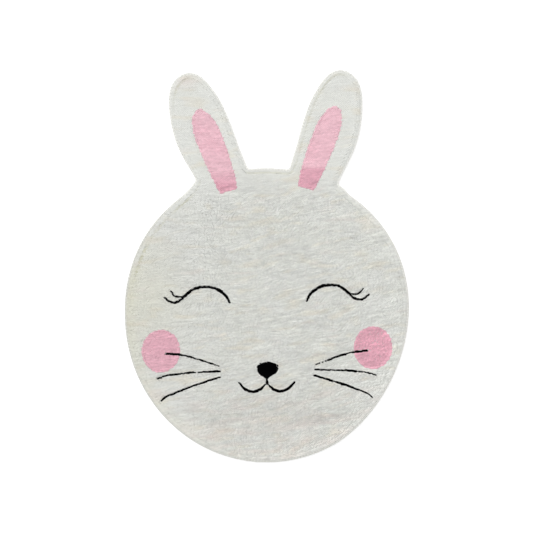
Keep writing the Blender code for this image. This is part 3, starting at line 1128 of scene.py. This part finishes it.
def lineTufts(line, rng, fatter):
    places = []
    path = spreadEvenly(line, ink["step"])
    along = np.gradient(path[:, :2], axis=0)
    turn = np.arctan2(along[:, 1], along[:, 0])
    aside = ink["wobble"] * softNoise(path[:, 0], path[:, 1], ink["wobbleCell"], 61)
    fuller = fatter + ink["swell"] * softNoise(path[:, 0], path[:, 1], ink["wobbleCell"], 62)
    path[:, 0] -= np.sin(turn) * aside
    path[:, 1] += np.cos(turn) * aside
    for (x, y, half), angle, full in zip(path, turn, fuller):
        if half < ink["least"]:
            continue
        half *= full
        spare = half - ink["pairHalf"]
        tuftHalf, shifts = ink["pairHalf"], (-spare, 0.0, spare)
        if spare < ink["pairFrom"]:
            tuftHalf, shifts = half, (0.0,)
        elif spare < ink["threeFrom"]:
            shifts = (-spare, spare)
        for shift in shifts:
            places.append((x - math.sin(angle) * shift, y + math.cos(angle) * shift, angle,
                           tuftHalf / tuft["bellyHalf"]))
    places = np.array(places)
    places[:, :2] += rng.uniform(-ink["jitter"], ink["jitter"], (len(places), 2))
    return places


def blackTufts(places, rng):
    count = len(places)

    def varied(name):
        return rng.uniform(-ink[name], ink[name], count)

    return {
        "x": places[:, 0],
        "y": places[:, 1],
        "turn": places[:, 2] + varied("turnVaries"),
        "full": np.full(count, ink["full"]),
        "wide": places[:, 3] * rng.uniform(*ink["wideVaries"], count),
        "tall": tuft["height"] + ink["lift"] + varied("tallVaries"),
        "leanX": rng.uniform(*ink["leanVaries"]["X"], count),
        "leanY": rng.uniform(*ink["leanVaries"]["Y"], count),
        "shade": varied("shadeVaries"),
        "warm": np.zeros(count),
        "rosy": np.zeros(count),
    }


def noseTufts(rng):
    n = noseFill
    gx, gy = np.meshgrid(np.arange(*n["across"], n["step"]), np.arange(*n["up"], n["step"]))
    gx = gx + (np.arange(gx.shape[0]) % 2)[:, None] * n["step"] / 2
    x, y = gx.ravel(), gy.ravel()
    x = x + rng.uniform(-ink["jitter"], ink["jitter"], len(x))
    y = y + rng.uniform(-ink["jitter"], ink["jitter"], len(y))
    inside = inNose(x, y) & (fromLine(x, y, noseBorder) > n["fieldIn"])
    x, y = x[inside], y[inside]
    turn = rng.uniform(-n["turnVaries"], n["turnVaries"], len(x))
    field = np.column_stack((x, y, turn, np.full(len(x), n["wide"])))
    border = besideLine(noseBorder, -n["borderIn"], True)
    border[:, :2] += rng.uniform(-n["borderVaries"], n["borderVaries"], (len(border), 2))
    return np.vstack((field, np.column_stack((border, rng.uniform(*n["borderWide"], len(border))))))


def dressFace():
    rng = np.random.default_rng(23)
    for name in ("eye", "whiskers"):
        for word in sides:
            lines = [lineTufts(drawnLines[key, word], rng, ink["fatter"][name])
                     for key, s in strokes.items() if s["piece"] == name]
            addTufts(name + "_" + word, blackTufts(np.vstack(lines), rng), blackCutPile)
    lines = [drawnLines["mouth", word] for word in sides] + [drawnLines["stem", "middle"]]
    mouth = np.vstack([lineTufts(line, rng, ink["fatter"]["mouth"]) for line in lines])
    addTufts("mouth", blackTufts(mouth, rng), blackCutPile)
    addTufts("nose", blackTufts(noseTufts(rng), rng), blackCutPile)


dressFace()

# The tufted ground, low between the tufts, with the canvas back under it
ground = {"top": 11.4, "flatWidth": 0.781, "flatLength": 1.086, "flatArea": 0.575}


def copyNode(node, name):
    # an own, merged copy of a CAD node's mesh
    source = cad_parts[node]
    piece = bpy.data.objects.new(name, source.data.copy())
    piece.data.name = name
    bpy.context.scene.collection.objects.link(piece)
    bpy.ops.object.select_all(action="DESELECT")
    piece.select_set(True)
    piece.hide_render = piece.hide_viewport = False
    editParts(piece, range(len(piece.data.vertices)), (bpy.ops.mesh.remove_doubles, {"threshold": weld}))
    piece.data.materials.clear()
    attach(piece, "root")
    return piece


def makeGround():
    piece = copyNode("pile_panel", "pile_ground")
    editParts(piece, range(len(piece.data.vertices)),
              (bpy.ops.mesh.bisect, {"plane_co": (0, 0, ground["top"] * mm), "plane_no": (0, 0, 1),
                                     "use_fill": True, "clear_outer": True}))
    piece.data.materials.append(creamCutPile)
    piece.data.materials.append(cottonCanvasBack)
    for face in piece.data.polygons:
        face.material_index = 1 if face.normal.z < -0.5 else 0
    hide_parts("pile_panel")
    return piece


pileGround = makeGround()
print("ground:", len(pileGround.data.polygons), "faces")

# Oversewn edge: a stitch beside a stitch over a cord
whip = {
    "pitch": 4.2,
    "yarnHalfWide": 2.25,
    "yarnHalfThick": 0.8,
    "slant": 2.4,
    "slantVaries": 0.4,
    "thickVaries": (0.9, 1.12),
    "tipNarrower": 0.55,
    "fromAngle": -58,
    "toAngle": 238,
    "halfWide": 4.1,
    "halfHigh": 5.3,
    "midHeight": 5.6,
    "lineOut": 4.8,
    "cordShrink": 0.8,
    "segments": 8,
    # painted shade and light: darker towards the chin and on the outer side, as the light falls
    "duskUp": (-552, -300, 100, 200),
    "dusk": (0.5, 0.45, 0.4, 0.1),
    "earSideLight": 0.3,
    "every2nd": 0.12,
    "sideDusk": 0.2,
    "outerDusk": 0.35,
    "duskVaries": 0.1,
    "earsFrom": 195,
    # places of a stitch in its square of the map: left side and width, foot and length, and the end caps
    "mapAcross": (0.04, 0.78),
    "mapAlong": (0.12, 0.76),
    "mapCap": 0.08,
}


def modelStitch():
    # a straight piece of flattened yarn with tapered ends, which the copies bend over the cord
    bpy.ops.object.select_all(action="DESELECT")
    bpy.ops.mesh.primitive_cylinder_add(
        vertices=6, radius=1, depth=1, end_fill_type="TRIFAN", location=(0, 0, 0))
    yarn = bpy.context.object
    z = [v.co.z for v in yarn.data.vertices]
    long = [edge.index for edge in yarn.data.edges if abs(z[edge.vertices[0]] - z[edge.vertices[1]]) > 0.5]
    editParts(yarn, long, (bpy.ops.mesh.subdivide, {"number_cuts": whip["segments"] - 1}), edges=True)
    for end in (-0.5, 0.5):
        tips = [v.index for v in yarn.data.vertices if abs(v.co.z - end) < 0.01]
        narrower = {"value": (whip["tipNarrower"], whip["tipNarrower"], 1), "center_override": (0, 0, end)}
        editParts(yarn, tips, (bpy.ops.transform.resize, narrower))
    return meshArrays(yarn)


def stitchMap(verts, faces):
    # the yarn's length up its square of the map and its six sides across, its end caps above and below
    around = (np.arctan2(verts[:, 1], verts[:, 0]) / (2 * math.pi)) % 1
    corners = np.zeros((len(faces), 3, 2))
    for f, face in enumerate(faces):
        z = verts[face, 2]
        onAxis = np.hypot(*verts[face, :2].T) < 1e-4
        u = around[face].copy()
        if np.ptp(u[~onAxis]) > 0.5:
            u = np.where(u < 0.5, u + 1, u)
        u[onAxis] = u[~onAxis].mean()
        v = whip["mapAlong"][0] + whip["mapAlong"][1] * (z + 0.5)
        v[onAxis] += whip["mapCap"] * np.sign(z[onAxis])
        corners[f] = np.column_stack((whip["mapAcross"][0] + whip["mapAcross"][1] * u, v))
    return corners


def bendStitches(verts, line, out, rng):
    # each stitch bent over the cord at its place on the line, a little slanted
    share = verts[:, 2] + 0.5
    angle = np.radians(whip["fromAngle"] + (whip["toAngle"] - whip["fromAngle"]) * share)
    middle = np.column_stack((whip["halfWide"] * np.cos(angle), whip["halfHigh"] * np.sin(angle)))
    facing = np.column_stack((np.cos(angle) / whip["halfWide"], np.sin(angle) / whip["halfHigh"]))
    facing /= np.hypot(facing[:, 0], facing[:, 1])[:, None]
    thick = verts[:, 1] * whip["yarnHalfThick"]
    fatter = rng.uniform(*whip["thickVaries"], len(line))
    slant = whip["slant"] + rng.uniform(-whip["slantVaries"], whip["slantVaries"], len(line))
    section = middle[None] + facing[None] * (thick[None] * fatter[:, None])[..., None]
    aside = verts[None, :, 0] * whip["yarnHalfWide"] + slant[:, None] * (share[None] - 0.5)
    along = np.column_stack((-out[:, 1], out[:, 0]))
    x = line[:, 0, None] + out[:, 0, None] * section[..., 0] + along[:, 0, None] * aside
    y = line[:, 1, None] + out[:, 1, None] * section[..., 0] + along[:, 1, None] * aside
    return np.stack((x, y, whip["midHeight"] + section[..., 1]), axis=-1), angle


def stitchPaintedShade(line, out, angle, rng):
    # painted shade as the light falls: darker towards the chin, on the head's right and on each stitch's
    # outer side, lighter on the ears' right sides, every second stitch darker as if it lay a little deeper,
    # and a little tone at random
    onHead = line[:, 1] < whip["earsFrom"]
    shade = np.interp(line[:, 1], whip["duskUp"], whip["dusk"]) - whip["sideDusk"] * out[:, 0] * onHead
    shade = shade - whip["earSideLight"] * np.clip(out[:, 0], 0, 1) * ~onHead
    shade = shade + whip["every2nd"] * (np.arange(len(line)) % 2)
    shade = shade + rng.uniform(-whip["duskVaries"], whip["duskVaries"], len(line))
    return shade[:, None] + whip["outerDusk"] * np.clip(np.cos(angle), 0, 1)[None]


def facesInward(verts, faces):
    a, b, c = (verts[faces[:, k]] - verts.mean(axis=0) for k in range(3))
    return np.sum(np.cross(a, b) * c) < 0


def wrapEdge():
    verts, faces = modelStitch()
    corners = stitchMap(verts, faces)
    line = spreadEvenly(rim + whip["lineOut"] * rimOut, whip["pitch"], closed=True)
    out = outwardOf(line)
    rng = np.random.default_rng(3)
    placed, angle = bendStitches(verts, line, out, rng)
    if facesInward(placed[0], faces):
        faces, corners = faces[:, ::-1], corners[:, ::-1]
    marks = {"yarnToneAndPaintedShade": stitchPaintedShade(line, out, angle, rng)}
    material = whippedYarn("whippedCottonYarn", {**whipYarn, "wraps": len(line)})
    whipping = joinCopies("edge_whipping", placed, faces, corners, marks, material)
    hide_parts("edge_binding")
    cord = copyNode("edge_binding", "edge_cord")
    editParts(cord, range(len(cord.data.vertices)),
              (bpy.ops.transform.shrink_fatten, {"value": -whip["cordShrink"] * mm}))
    cord.data.materials.append(creamCutPile)
    cord.data.shade_smooth()


wrapEdge()
print("edge oversewn")

# Pale floor, soft studio light, camera straight above; places in metres
studio = {
    "floor": "#fbfbfb",
    "floorSize": 8.0,
    "floorDrop": 0.0004,
    "floorGlow": 0.22,
    "worldStrength": 0.85,
    "keyStrength": 1.1,
    "keySpread": 35,
    "keyFrom": (-1.0, 1.3, 1.7),
    "cameraPlace": (-0.0008, -0.0011, 4.012),
    "lens": 96.06,
    "sensor": 36.0,
}
white = (1.0, 1.0, 1.0, 1.0)


def layFloor():
    bpy.ops.object.select_all(action="DESELECT")
    bpy.ops.mesh.primitive_plane_add(size=studio["floorSize"], location=(0, 0, -studio["floorDrop"]))
    floor = bpy.context.object
    floor.name = "floor"
    # Pale matt paint, lit from below like a light table, so that the rug throws no shadow
    material, tree = emptyMaterial("paleFloor")
    place = addNode(tree, "ShaderNodeTexCoord").outputs["Object"]
    grain = addNode(tree, "ShaderNodeTexNoise", {"Vector": place, "Scale": 3.0}).outputs["Fac"]
    rough = addNode(tree, "ShaderNodeMapRange", {"Value": grain, "To Min": 0.9, "To Max": 1.0}).outputs[0]
    paint = addNode(tree, "ShaderNodeBsdfPrincipled", {
        "Base Color": hexColour(studio["floor"]), "Roughness": rough, "Specular IOR Level": 0.0,
        "Emission Color": white, "Emission Strength": studio["floorGlow"]})
    addNode(tree, "ShaderNodeOutputMaterial", {"Surface": paint.outputs[0]})
    floor.data.materials.append(material)


def lightStudio():
    world = bpy.data.worlds.new("softSky")
    bpy.context.scene.world = world
    world.use_nodes = True
    tree = world.node_tree
    tree.nodes.clear()
    sky = addNode(tree, "ShaderNodeBackground", {"Color": white, "Strength": studio["worldStrength"]})
    addNode(tree, "ShaderNodeOutputWorld", {"Surface": sky.outputs[0]})
    light = bpy.data.lights.new("softKey", "SUN")
    light.energy = studio["keyStrength"]
    light.angle = math.radians(studio["keySpread"])
    lamp = bpy.data.objects.new("softKey", light)
    bpy.context.scene.collection.objects.link(lamp)
    lamp.location = studio["keyFrom"]
    lamp.rotation_euler = (-lamp.location).to_track_quat("-Z", "Y").to_euler()


def setCamera():
    lens = bpy.data.cameras.new("above")
    lens.lens = studio["lens"]
    lens.sensor_width = studio["sensor"]
    camera = bpy.data.objects.new("above", lens)
    bpy.context.scene.collection.objects.link(camera)
    camera.location = studio["cameraPlace"]
    bpy.context.scene.camera = camera
    bpy.context.scene.view_settings.view_transform = "Standard"


layFloor()
lightStudio()
setCamera()
print("studio ready")
